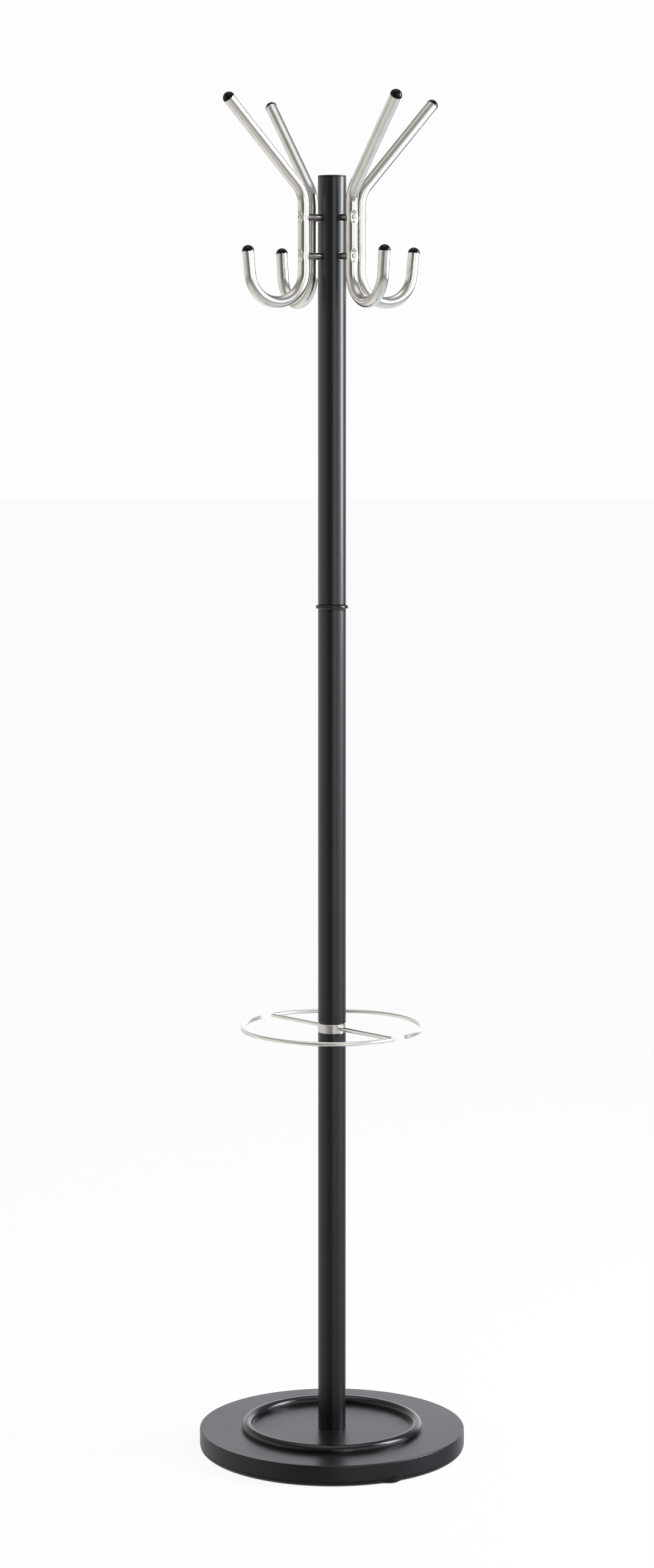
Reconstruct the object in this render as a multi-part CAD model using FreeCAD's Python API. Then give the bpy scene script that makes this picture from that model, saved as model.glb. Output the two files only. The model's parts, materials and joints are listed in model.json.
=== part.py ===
import FreeCAD, Part
import math
import os

# Free-standing coat rack, in millimetres.
# Origin: on the pole's axis, on the floor.  +Z is up and -Y is the front.
# Three sections of steel tube stand on a round weighted foot.  A two-armed
# umbrella ring turns between the lower and middle sections, and the upper
# section, with its four double hooks, turns on a spindle in the middle one.

Vec = FreeCAD.Vector
UP = Vec(0, 0, 1)
CENTRE = Vec(0, 0, 0)

# ---- driving dimensions -------------------------------------------------
fit_gap = 0.05            # radial clearance of pieces that sit in each other
running_gap = 0.05        # radial clearance of a journal in its bearing
swivel_gap = 0.3          # end float of the pieces that turn

# pole
pole_diameter = 38.0
pole_wall = 1.5
lower_tube_length = 553.2
middle_tube_length = 563.4
upper_tube_length = 567.0
tube_edge = 0.4           # chamfer on the outer edge of each tube end
plug_length = 20.0        # threaded plugs welded into the tube ends

# foot
base_diameter = 365.0
base_height = 30.0
cover_wall = 1.2
cover_edge_radius = 1.8
trim_height = 8.0         # visible height of the rubber edging, a quarter round
trim_width = 14.5         # radial width of the edging's foot
trim_leg = 4.0            # radial width of its leg, between cover and plate
trim_inset = 0.25         # edging sits this much inside the cover's wall
trim_slit = 0.5           # open butt joint between the edging's two ends
trim_slit_angle = -57.5   # where that joint is, about Z from +X
plate_floor_gap = 3.0     # the bottom plate stays this far off the floor
plate_thickness = 2.0
cup_radius = 22.0         # pressed cup in the plate that hides the bolt head
cup_slope = 7.0
cup_depth = 7.0

# cast weight inside the foot
weight_floor = 6.0
weight_rim = 9.0
weight_hub_radius = 42.0
weight_gap = 0.5
weight_rib = 8.0
weight_rib_count = 6

# raised drip ring on the foot
drip_ring_diameter = 234.6    # on the bead's centre line
drip_bead_width = 15.4
drip_bead_height = 9.5
drip_lip = 1.3                # flat lip on each side of the bead
drip_lip_height = 1.0

# foot bolt
bolt_diameter = 10.0
bolt_head_flats = 16.0
bolt_head_height = 6.4
bolt_grip = 14.0              # engagement in the foot plug
washer_radius = 15.0
washer_thickness = 2.5

# umbrella holder
collar_height = 13.0
collar_journal_diameter = 24.0
collar_edge = 0.5
collar_flat_depth = 0.9       # milled seat round each rod
collar_flat_radius = 6.2
rod_diameter = 6.0
rod_socket_depth = 3.0
rod_ring_radius = 122.0       # rod's centre line, from the pole's axis
rod_bend_radius = 6.0
rod_ring_sweep = 169.0
rod_angle = -46.5             # first rod, about Z from +X
rod_end_edge = 0.5
stud_diameter = 12.0
stud_length = 16.0

# joint between the middle and upper sections
joint_band_height = 1.6
joint_bead_height = 6.0
joint_bead_proud = 3.2        # how far the bead stands out from the pole
shoulder_diameter = 20.0
journal_diameter = 16.0
bush_length = 24.0
bush_head_recess = 1.5
clip_thickness = 1.0
clip_groove_depth = 0.7
clip_radial_width = 3.4
journal_overrun = 4.0

# cap on top of the pole
top_cap_height = 3.2
top_cap_edge_radius = 1.4
top_cap_dish = 0.9            # height of the slight crown on the cap
top_cap_spigot = 14.0
top_cap_spigot_wall = 2.0

# hooks
hook_tube_diameter = 16.0
hook_tube_wall = 1.2
hook_shank_radius = 45.5      # shank's centre line, from the pole's axis
hook_u_radius = 40.6
hook_u_centre_drop = 124.1    # centre of the U, below the end of the pole tube
hook_leg_length = 30.2
hook_leg_lean = 6.0           # short leg leans outwards
hook_shank_length = 87.7
hook_bend_radius = 38.0
hook_arm_lean = 43.0
hook_arm_length = 149.3
hook_count = 4
first_hook_angle = 34.6       # its screws, about Z from +X
hook_twist = 4.5              # each hook's turn about its shank, clockwise from above
cap_overhang = 0.25           # caps stand this much proud of the tube
cap_dome_height = 7.8
cap_lip = 0.8
cap_spigot = 10.0

# hook fixings
screw_diameter = 4.0
screw_head_diameter = 7.6
screw_head_height = 2.4
screw_head_rim = 1.0          # height of the head's edge, below its dome
screw_socket_flats = 2.5
screw_socket_depth = 1.4
screw_seat_depth = 1.9        # heads sit in cups pressed into the tube
screw_drops = (53.3, 104.0)   # the two screws, below the end of the pole tube
spacer_diameter = 9.0
spacer_edge = 0.5
nut_diameter = 7.0
nut_flange_diameter = 10.4
nut_flange_height = 1.0
nut_bulge = 1.2
nut_bulge_length = 3.0
nut_length = 10.0
screw_hole_gap = 0.2

# ---- derived dimensions -------------------------------------------------
pole_radius = pole_diameter / 2
pole_bore = pole_radius - pole_wall
plug_radius = pole_bore - fit_gap
base_radius = base_diameter / 2
trim_radius = base_radius - trim_inset
plate_radius = trim_radius - trim_leg - fit_gap
rod_radius = rod_diameter / 2
stud_radius = stud_diameter / 2
hook_radius = hook_tube_diameter / 2
hook_bore = hook_radius - hook_tube_wall

lower_tube_bottom = base_height
lower_tube_top = lower_tube_bottom + lower_tube_length
middle_tube_bottom = lower_tube_top + collar_height + 2 * swivel_gap
middle_tube_top = middle_tube_bottom + middle_tube_length
joint_ring_top = middle_tube_top + joint_band_height + joint_bead_height
upper_tube_bottom = joint_ring_top + swivel_gap
upper_tube_top = upper_tube_bottom + upper_tube_length
collar_bottom = lower_tube_top + swivel_gap
rod_height = collar_bottom + collar_height / 2
hook_u_centre = upper_tube_top - hook_u_centre_drop
hook_names = ("back_right", "back_left", "front_left", "front_right")


# ---- shared shapes ------------------------------------------------------
def lines_through(points):
    """Straight edges joining (radius, height) points in the XZ plane."""
    corners = [Vec(radius, 0, height) for radius, height in points]
    pairs = zip(corners, corners[1:])
    return [Part.LineSegment(first, second).toShape() for first, second in pairs]


def crown_arc(edge_radius, edge_height, top_height):
    """Arc edge in the XZ plane from the axis down to the rim of a dome."""
    rise = top_height - edge_height
    dome_radius = (edge_radius ** 2 + rise ** 2) / (2 * rise)
    dome_centre = top_height - dome_radius
    half_turn = math.atan2(edge_radius, edge_height - dome_centre) / 2
    middle = Vec(dome_radius * math.sin(half_turn), 0, dome_centre + dome_radius * math.cos(half_turn))
    return Part.Arc(Vec(0, 0, top_height), middle, Vec(edge_radius, 0, edge_height)).toShape()


def turned_edges(edges):
    """Solid turned about Z from the edges of a closed outline, in order."""
    return Part.Face(Part.Wire(edges)).revolve(CENTRE, UP, 360)


def turned(points):
    """Solid turned about Z from a closed outline of (radius, height) points."""
    return turned_edges(lines_through(points + points[:1]))


def cylinder(radius, bottom, top):
    """Upright cylinder on the pole's axis."""
    return Part.makeCylinder(radius, top - bottom, Vec(0, 0, bottom))


def ring(outer_radius, inner_radius, bottom, top):
    """Upright sleeve on the pole's axis."""
    return cylinder(outer_radius, bottom, top).cut(cylinder(inner_radius, bottom - 1, top + 1))


def radial_cylinder(radius, near, far, height):
    """Cylinder lying along +X, from one distance from the axis to another."""
    return Part.makeCylinder(radius, far - near, Vec(near, 0, height), Vec(1, 0, 0))


def hexagon_prism(flats, start, direction, length):
    """Six-sided prism, measured across its flats."""
    prism_radius = flats / math.sqrt(3)
    corners = []
    for index in range(7):
        turn = math.radians(60 * index)
        corners.append(Vec(prism_radius * math.cos(turn), prism_radius * math.sin(turn), 0))
    prism = Part.Face(Part.makePolygon(corners)).extrude(Vec(0, 0, length))
    prism.Placement = FreeCAD.Placement(start, FreeCAD.Rotation(UP, direction))
    return prism


def arc_through(centre, radius, first, last, plane):
    """Arc edge between two angles in degrees, in the XY or the XZ plane."""
    points = []
    for angle in (first, (first + last) / 2, last):
        across = radius * math.cos(math.radians(angle))
        along = radius * math.sin(math.radians(angle))
        step = Vec(across, along, 0) if plane == "XY" else Vec(across, 0, along)
        points.append(centre + step)
    return Part.Arc(*points).toShape()


def round_bar(path, radius, direction):
    """Bar of round section along a path that starts in the given direction."""
    start = path.OrderedVertexes[0].Point
    section = Part.Wire(Part.makeCircle(radius, start, direction))
    return path.makePipeShell([section], True, False)


def edges_at(shape, height, radius):
    """Circular edges of a turned shape at one height and radius."""
    found = []
    for edge in shape.Edges:
        if isinstance(edge.Curve, Part.Circle) and abs(edge.Curve.Radius - radius) < 1e-4:
            if abs(edge.Curve.Center.z - height) < 1e-4:
                found.append(edge)
    return found


def turned_about_pole(shape, angle):
    """Copy of a shape, turned about the pole's axis."""
    copy = shape.copy()
    copy.rotate(CENTRE, UP, angle)
    return copy


# ---- foot ---------------------------------------------------------------
def make_base_cover():
    outer = cylinder(base_radius, trim_height, base_height)
    outer = outer.makeFillet(cover_edge_radius, edges_at(outer, base_height, base_radius))
    inner_top = base_height - cover_wall
    inner_radius = base_radius - cover_wall
    inner = cylinder(inner_radius, trim_height - 1, inner_top)
    inner_edge = cover_edge_radius - cover_wall
    if inner_edge > 0:
        inner = inner.makeFillet(inner_edge, edges_at(inner, inner_top, inner_radius))
    bolt_hole = cylinder(bolt_diameter / 2 + screw_hole_gap, inner_top - 1, base_height + 1)
    return outer.cut(inner).cut(bolt_hole)


def trim_outline():
    """Section of the edging: a leg beside the plate and a foot under it, with
    a quarter round on the outside."""
    toe = trim_radius - trim_height
    inner = trim_radius - trim_width
    leg = trim_radius - trim_leg
    corners = [(toe, 0), (inner, 0), (inner, plate_floor_gap), (leg, plate_floor_gap)]
    corners += [(leg, trim_height), (trim_radius, trim_height)]
    rounding = arc_through(Vec(toe, 0, trim_height), trim_height, 0, -90, "XZ")
    return [rounding] + lines_through(corners)


def make_edge_trim():
    strip = turned_edges(trim_outline())
    slit = Part.makeBox(base_radius, trim_slit, trim_height + 2, Vec(0, -trim_slit / 2, -1))
    return strip.cut(turned_about_pole(slit, trim_slit_angle))


def make_base_plate():
    hole = bolt_diameter / 2 + screw_hole_gap
    low = plate_floor_gap
    underside = [(hole, low + cup_depth), (cup_radius, low + cup_depth)]
    underside += [(cup_radius + cup_slope, low), (plate_radius, low)]
    upper_side = [(radius, height + plate_thickness) for radius, height in reversed(underside)]
    return turned(underside + upper_side)


def make_base_weight():
    floor = plate_floor_gap + plate_thickness
    top = base_height - cover_wall
    outer = plate_radius - weight_gap
    hub_bottom = floor + cup_depth
    pocket = cup_radius + cup_slope + weight_gap
    hole = bolt_diameter / 2 + screw_hole_gap
    casting = ring(outer, pocket, floor, floor + weight_floor)
    casting = casting.fuse(ring(outer, outer - weight_rim, floor, top))
    casting = casting.fuse(ring(weight_hub_radius, hole, hub_bottom, top))
    casting = casting.fuse(ring(weight_hub_radius, pocket, floor, hub_bottom))
    rib_start = weight_hub_radius - 2
    rib_length = outer - weight_rim / 2 - rib_start
    rib = Part.makeBox(rib_length, weight_rib, top - floor, Vec(rib_start, -weight_rib / 2, floor))
    for index in range(weight_rib_count):
        casting = casting.fuse(turned_about_pole(rib, 360 * index / weight_rib_count))
    return casting.removeSplitter()


def make_drip_ring():
    centre = drip_ring_diameter / 2
    half = drip_bead_width / 2
    lip_top = base_height + drip_lip_height
    spring = base_height + drip_bead_height - half
    left, right = centre - half, centre + half
    corners = [(right, spring), (right, lip_top), (right + drip_lip, lip_top)]
    corners += [(right + drip_lip, base_height), (left - drip_lip, base_height)]
    corners += [(left - drip_lip, lip_top), (left, lip_top), (left, spring)]
    bead = arc_through(Vec(centre, 0, spring), half, 180, 0, "XZ")
    return turned_edges(lines_through(corners) + [bead])


def make_base_washer():
    top = plate_floor_gap + cup_depth
    return ring(washer_radius, bolt_diameter / 2 + screw_hole_gap, top - washer_thickness, top)


def make_base_bolt():
    head_top = plate_floor_gap + cup_depth - washer_thickness
    head_start = Vec(0, 0, head_top - bolt_head_height)
    head = hexagon_prism(bolt_head_flats, head_start, UP, bolt_head_height)
    return head.fuse(cylinder(bolt_diameter / 2, head_top, base_height + bolt_grip))


# ---- pole ---------------------------------------------------------------
def make_pole_tube(bottom, top):
    tube = ring(pole_radius, pole_bore, bottom, top)
    rims = edges_at(tube, bottom, pole_radius) + edges_at(tube, top, pole_radius)
    return tube.makeChamfer(tube_edge, rims)


def make_plug(bottom, thread_diameter):
    """Threaded plug that is welded into the end of a tube."""
    return ring(plug_radius, thread_diameter / 2 + fit_gap, bottom, bottom + plug_length)


def make_umbrella_spindle():
    """Stud that screws the lower and middle sections together, with a drum
    between them that is longer than the collar by the swivel's end float."""
    drum = cylinder(collar_journal_diameter / 2, lower_tube_top, middle_tube_bottom)
    bottom = lower_tube_top - stud_length
    return drum.fuse(cylinder(stud_radius, bottom, middle_tube_bottom + stud_length))


def make_joint_ring():
    """Plastic ring with a flush band below and a half-round bead above."""
    bead_bottom = middle_tube_top + joint_band_height
    bead_centre = bead_bottom + joint_bead_height / 2
    bore = shoulder_diameter / 2 + fit_gap
    half = joint_bead_height / 2
    shoulder = pole_radius + joint_bead_proud - half
    outline = [(shoulder, joint_ring_top), (bore, joint_ring_top), (bore, middle_tube_top)]
    outline += [(pole_radius, middle_tube_top), (pole_radius, bead_bottom), (shoulder, bead_bottom)]
    bead = arc_through(Vec(shoulder, 0, bead_centre), half, -90, 90, "XZ")
    return turned_edges(lines_through(outline) + [bead])


def make_head_spindle():
    """Spindle screwed into the middle section; the upper section turns on it."""
    groove_bottom = upper_tube_bottom + bush_length + swivel_gap
    groove_top = groove_bottom + clip_thickness + 2 * fit_gap
    journal_radius = journal_diameter / 2
    groove_radius = journal_radius - clip_groove_depth
    spindle = cylinder(stud_radius, middle_tube_top - stud_length, middle_tube_top)
    spindle = spindle.fuse(cylinder(shoulder_diameter / 2, middle_tube_top, joint_ring_top))
    spindle = spindle.fuse(cylinder(journal_radius, joint_ring_top, groove_top + journal_overrun))
    return spindle.cut(ring(journal_radius + 1, groove_radius, groove_bottom, groove_top))


def make_retaining_clip():
    bottom = upper_tube_bottom + bush_length + swivel_gap + fit_gap
    inner = journal_diameter / 2 - clip_groove_depth + fit_gap
    clip = ring(inner + clip_radial_width, inner, bottom, bottom + clip_thickness)
    mouth = Part.makeBox(20, 5, clip_thickness + 2, Vec(0, -2.5, bottom - 1))
    return clip.cut(mouth)


def make_head_bush():
    """Plain bearing bush in the bottom end of the upper tube."""
    bore = journal_diameter / 2 + running_gap
    bush = ring(plug_radius, bore, upper_tube_bottom, upper_tube_bottom + bush_length)
    recess_radius = shoulder_diameter / 2 + 2 * swivel_gap
    return bush.cut(cylinder(recess_radius, upper_tube_bottom - 1, upper_tube_bottom + bush_head_recess))


def make_top_cap():
    """Push-in cap with a crowned top and a hollow spigot."""
    rim_top = upper_tube_top + top_cap_height - top_cap_dish
    flat_radius = pole_radius - top_cap_edge_radius
    edge_centre = Vec(flat_radius, 0, rim_top - top_cap_edge_radius)
    spigot_bottom = upper_tube_top - top_cap_spigot
    spigot_bore = plug_radius - top_cap_spigot_wall
    outline = [(pole_radius, edge_centre.z), (pole_radius, upper_tube_top)]
    outline += [(plug_radius, upper_tube_top), (plug_radius, spigot_bottom)]
    outline += [(spigot_bore, spigot_bottom), (spigot_bore, upper_tube_top)]
    outline += [(0, upper_tube_top), (0, upper_tube_top + top_cap_height)]
    crown = crown_arc(flat_radius, rim_top, upper_tube_top + top_cap_height)
    rounding = arc_through(edge_centre, top_cap_edge_radius, 90, 0, "XZ")
    return turned_edges([crown, rounding] + lines_through(outline))


# ---- umbrella holder ----------------------------------------------------
def rod_path():
    """Centre line of one rod: straight out from the collar, round a tight
    bend and back along the ring.  It lies along +X and turns clockwise."""
    inner = rod_ring_radius - rod_bend_radius
    straight_end = math.sqrt(inner ** 2 - rod_bend_radius ** 2)
    seat = pole_radius - collar_flat_depth - rod_socket_depth
    bend_centre = Vec(straight_end, -rod_bend_radius, rod_height)
    meeting_angle = math.degrees(math.atan2(-rod_bend_radius, straight_end))
    start = Vec(seat, 0, rod_height)
    straight = Part.LineSegment(start, Vec(straight_end, 0, rod_height)).toShape()
    bend = arc_through(bend_centre, rod_bend_radius, 90, meeting_angle, "XY")
    ring_arc = arc_through(Vec(0, 0, rod_height), rod_ring_radius, meeting_angle, -rod_ring_sweep, "XY")
    return Part.Wire([straight, bend, ring_arc])


def make_umbrella_rod(angle):
    rod = round_bar(rod_path(), rod_radius, Vec(1, 0, 0))
    end_turn = math.radians(-rod_ring_sweep)
    reach = rod_ring_radius * 0.1
    tip_edges = []
    tip = Vec(rod_ring_radius * math.cos(end_turn), rod_ring_radius * math.sin(end_turn), rod_height)
    for edge in rod.Edges:
        if isinstance(edge.Curve, Part.Circle) and (edge.Curve.Center - tip).Length < reach:
            if abs(edge.Curve.Radius - rod_radius) < 1e-4:
                tip_edges.append(edge)
    return turned_about_pole(rod.makeChamfer(rod_end_edge, tip_edges), angle)


def make_umbrella_collar():
    bore = collar_journal_diameter / 2 + running_gap
    collar = ring(pole_radius, bore, collar_bottom, collar_bottom + collar_height)
    rims = edges_at(collar, collar_bottom, pole_radius)
    rims += edges_at(collar, collar_bottom + collar_height, pole_radius)
    collar = collar.makeChamfer(collar_edge, rims)
    flat = pole_radius - collar_flat_depth
    seat = radial_cylinder(collar_flat_radius, flat, pole_radius + 5, rod_height)
    socket = radial_cylinder(rod_radius + fit_gap, flat - rod_socket_depth, pole_radius, rod_height)
    for angle in (rod_angle, rod_angle + 180):
        collar = collar.cut(turned_about_pole(seat.fuse(socket), angle))
    return collar


# ---- hooks --------------------------------------------------------------
def hook_points():
    """Corner data of a hook's centre line in the XZ plane, X being the
    distance from the pole's axis."""
    lean = math.radians(hook_leg_lean)
    arm = math.radians(hook_arm_lean)
    u_centre = Vec(hook_shank_radius + hook_u_radius, 0, hook_u_centre)
    leg_bottom = u_centre + Vec(math.cos(lean), 0, -math.sin(lean)) * hook_u_radius
    leg_top = leg_bottom + Vec(math.sin(lean), 0, math.cos(lean)) * hook_leg_length
    shank_bottom = Vec(hook_shank_radius, 0, hook_u_centre)
    shank_top = shank_bottom + Vec(0, 0, hook_shank_length)
    bend_centre = shank_top + Vec(hook_bend_radius, 0, 0)
    arm_bottom = bend_centre + Vec(-math.cos(arm), 0, math.sin(arm)) * hook_bend_radius
    arm_top = arm_bottom + Vec(math.sin(arm), 0, math.cos(arm)) * hook_arm_length
    return u_centre, leg_bottom, leg_top, shank_bottom, shank_top, bend_centre, arm_bottom, arm_top


def hook_path():
    points = hook_points()
    u_centre, leg_bottom, leg_top, shank_bottom, shank_top, bend_centre, arm_bottom, arm_top = points
    edges = [
        Part.LineSegment(leg_top, leg_bottom).toShape(),
        arc_through(u_centre, hook_u_radius, -hook_leg_lean, -180, "XZ"),
        Part.LineSegment(shank_bottom, shank_top).toShape(),
        arc_through(bend_centre, hook_bend_radius, 180, 180 - hook_arm_lean, "XZ"),
        Part.LineSegment(arm_bottom, arm_top).toShape(),
    ]
    return Part.Wire(edges)


def twisted(shape):
    """Copy of a shape, turned about the shank's centre line."""
    copy = shape.copy()
    copy.rotate(Vec(hook_shank_radius, 0, 0), UP, -hook_twist)
    return copy


def make_hook():
    lean = math.radians(hook_leg_lean)
    down = Vec(-math.sin(lean), 0, -math.cos(lean))
    bar = twisted(round_bar(hook_path(), hook_radius, down))
    tube = bar.cut(twisted(round_bar(hook_path(), hook_bore, down)))
    outer_face = hook_shank_radius + hook_radius
    seat_face = outer_face - screw_seat_depth
    seat_radius = screw_head_diameter / 2 + screw_hole_gap
    for drop in screw_drops:
        height = upper_tube_top - drop
        cup_bottom = seat_face - hook_tube_wall
        cup = radial_cylinder(seat_radius + hook_tube_wall, cup_bottom, outer_face, height)
        seat = radial_cylinder(seat_radius, seat_face, outer_face + 5, height)
        hole = radial_cylinder(screw_diameter / 2 + screw_hole_gap, pole_radius, outer_face + 5, height)
        tube = tube.fuse(cup.common(bar)).cut(seat).cut(hole)
    return tube


def make_hook_cap(end, direction):
    """Domed plastic cap with a spigot that plugs the tube's end."""
    cap_radius = hook_radius + cap_overhang
    spigot_radius = hook_bore - fit_gap
    outline = [(cap_radius, cap_lip), (cap_radius, 0), (spigot_radius, 0)]
    outline += [(spigot_radius, -cap_spigot), (0, -cap_spigot), (0, cap_dome_height)]
    cap = turned_edges([crown_arc(cap_radius, cap_lip, cap_dome_height)] + lines_through(outline))
    cap.Placement = FreeCAD.Placement(end, FreeCAD.Rotation(UP, direction))
    return twisted(cap)


def make_spacer(height):
    """Turned spacer between a rivet nut's flange and the hook, with its outer
    end shaped to the hook's tube."""
    near = pole_radius + nut_flange_height
    bar = radial_cylinder(spacer_diameter / 2, near, hook_shank_radius, height)
    rim = [edge for edge in bar.Edges if abs(edge.CenterOfMass.x - near) < 1e-4]
    bar = bar.makeChamfer(spacer_edge, rim)
    shank = Part.makeCylinder(hook_radius + fit_gap, 60, Vec(hook_shank_radius, 0, height - 30))
    hole = radial_cylinder(screw_diameter / 2 + screw_hole_gap, near - 1, hook_shank_radius + 1, height)
    return bar.cut(shank).cut(hole)


def make_hook_screw(height):
    """Round-headed socket screw through the hook and the spacer."""
    seat = hook_shank_radius + hook_radius - screw_seat_depth
    tip = pole_radius - nut_length + 1
    head_radius = screw_head_diameter / 2
    outline = [(head_radius, screw_head_rim), (head_radius, 0), (0, 0), (0, screw_head_height)]
    head = turned_edges([crown_arc(head_radius, screw_head_rim, screw_head_height)] + lines_through(outline))
    head.Placement = FreeCAD.Placement(Vec(seat, 0, height), FreeCAD.Rotation(UP, Vec(1, 0, 0)))
    socket_start = Vec(seat + screw_head_height - screw_socket_depth, 0, height)
    socket = hexagon_prism(screw_socket_flats, socket_start, Vec(1, 0, 0), screw_head_height)
    return head.cut(socket).fuse(radial_cylinder(screw_diameter / 2, tip, seat, height))


def make_rivet_nut(height):
    """Rivet nut in the pole: flange outside, set bulge inside."""
    outer = pole_radius + nut_flange_height
    wall_face = math.sqrt(pole_bore ** 2 - (nut_diameter / 2 + nut_bulge) ** 2) - fit_gap
    flange = radial_cylinder(nut_flange_diameter / 2, pole_bore, outer, height)
    flange = flange.cut(cylinder(pole_radius + fit_gap, height - 20, height + 20))
    body = radial_cylinder(nut_diameter / 2, outer - nut_length - nut_flange_height, outer, height)
    bulge = radial_cylinder(nut_diameter / 2 + nut_bulge, wall_face - nut_bulge_length, wall_face, height)
    bore = radial_cylinder(screw_diameter / 2 + fit_gap, 0, outer + 1, height)
    return body.fuse(flange).fuse(bulge).cut(bore)


def make_upper_tube():
    tube = make_pole_tube(upper_tube_bottom, upper_tube_top)
    for index in range(hook_count):
        for drop in screw_drops:
            height = upper_tube_top - drop
            hole = radial_cylinder(nut_diameter / 2 + fit_gap, pole_bore - 3, pole_radius + 3, height)
            tube = tube.cut(turned_about_pole(hole, first_hook_angle + 360 * index / hook_count))
    return tube


# ---- write the nodes ----------------------------------------------------
def export(name, shape):
    shape.exportStep("parts/" + name + ".step")
    print("%-26s solids %d  volume %.1f" % (name, len(shape.Solids), shape.Volume))


def export_foot():
    export("base_cover", make_base_cover())
    export("edge_trim", make_edge_trim())
    export("base_plate", make_base_plate())
    export("base_weight", make_base_weight())
    export("drip_ring", make_drip_ring())
    export("base_washer", make_base_washer())
    export("base_bolt", make_base_bolt())


def export_pole():
    export("lower_tube", make_pole_tube(lower_tube_bottom, lower_tube_top))
    export("middle_tube", make_pole_tube(middle_tube_bottom, middle_tube_top))
    export("upper_tube", make_upper_tube())
    export("lower_tube_foot_plug", make_plug(lower_tube_bottom, bolt_diameter))
    export("lower_tube_top_plug", make_plug(lower_tube_top - plug_length, stud_diameter))
    export("middle_tube_foot_plug", make_plug(middle_tube_bottom, stud_diameter))
    export("middle_tube_top_plug", make_plug(middle_tube_top - plug_length, stud_diameter))
    export("umbrella_spindle", make_umbrella_spindle())
    export("joint_ring", make_joint_ring())
    export("head_spindle", make_head_spindle())
    export("retaining_clip", make_retaining_clip())
    export("head_bush", make_head_bush())
    export("top_cap", make_top_cap())


def export_umbrella_holder():
    export("umbrella_collar", make_umbrella_collar())
    export("umbrella_rod_front", make_umbrella_rod(rod_angle))
    export("umbrella_rod_back", make_umbrella_rod(rod_angle + 180))


def export_hooks():
    points = hook_points()
    leg_bottom, leg_top = points[1], points[2]
    arm_bottom, arm_top = points[6], points[7]
    heights = [upper_tube_top - drop for drop in screw_drops]
    pieces = {
        "hook": make_hook(),
        "lower_cap": make_hook_cap(leg_top, leg_top - leg_bottom),
        "upper_cap": make_hook_cap(arm_top, arm_top - arm_bottom),
        "spacers": Part.makeCompound([make_spacer(height) for height in heights]),
        "hook_screws": Part.makeCompound([make_hook_screw(height) for height in heights]),
        "rivet_nuts": Part.makeCompound([make_rivet_nut(height) for height in heights]),
    }
    for index in range(hook_count):
        angle = first_hook_angle + 360 * index / hook_count
        for name, piece in pieces.items():
            export(name + "_" + hook_names[index], turned_about_pole(piece, angle))


os.makedirs("parts", exist_ok=True)
export_foot()
export_pole()
export_umbrella_holder()
export_hooks()
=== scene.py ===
import json
import logging
import math
from dataclasses import dataclass, field
from enum import Enum
from typing import Callable, Sequence, Union

import bpy
from mathutils import Euler, Matrix, Vector
from mathutils.kdtree import KDTree


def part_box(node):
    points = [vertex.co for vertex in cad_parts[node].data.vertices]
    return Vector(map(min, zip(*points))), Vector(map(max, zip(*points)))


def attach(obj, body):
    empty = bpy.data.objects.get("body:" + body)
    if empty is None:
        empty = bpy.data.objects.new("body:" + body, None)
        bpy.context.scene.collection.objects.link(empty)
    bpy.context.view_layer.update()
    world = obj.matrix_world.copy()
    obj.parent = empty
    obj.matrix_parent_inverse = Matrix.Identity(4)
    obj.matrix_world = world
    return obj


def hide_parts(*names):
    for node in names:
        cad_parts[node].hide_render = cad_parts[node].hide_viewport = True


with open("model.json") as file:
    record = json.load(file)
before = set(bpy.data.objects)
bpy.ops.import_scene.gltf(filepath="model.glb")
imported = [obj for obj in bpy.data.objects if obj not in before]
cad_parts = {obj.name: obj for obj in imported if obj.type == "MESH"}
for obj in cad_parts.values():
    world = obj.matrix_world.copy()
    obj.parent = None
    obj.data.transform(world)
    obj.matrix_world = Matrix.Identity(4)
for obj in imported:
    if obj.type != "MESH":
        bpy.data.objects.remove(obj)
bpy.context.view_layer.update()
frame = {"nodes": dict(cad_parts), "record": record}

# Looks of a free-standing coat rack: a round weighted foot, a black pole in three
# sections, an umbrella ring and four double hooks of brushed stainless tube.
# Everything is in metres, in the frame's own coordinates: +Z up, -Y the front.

LOG = logging.getLogger("coat_rack")

MERGE_DISTANCE = 1e-6
SMOOTH_ANGLE = math.radians(35)
UP = Vector((0.0, 0.0, 1.0))
MIX_FACTOR, MIX_FIRST, MIX_SECOND, MIX_RESULT = 0, 6, 7, 2

Number = Union[int, float]
Colour = tuple[float, float, float]
Place = tuple[float, float, float]
Outline = list[tuple[float, float]]


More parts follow.
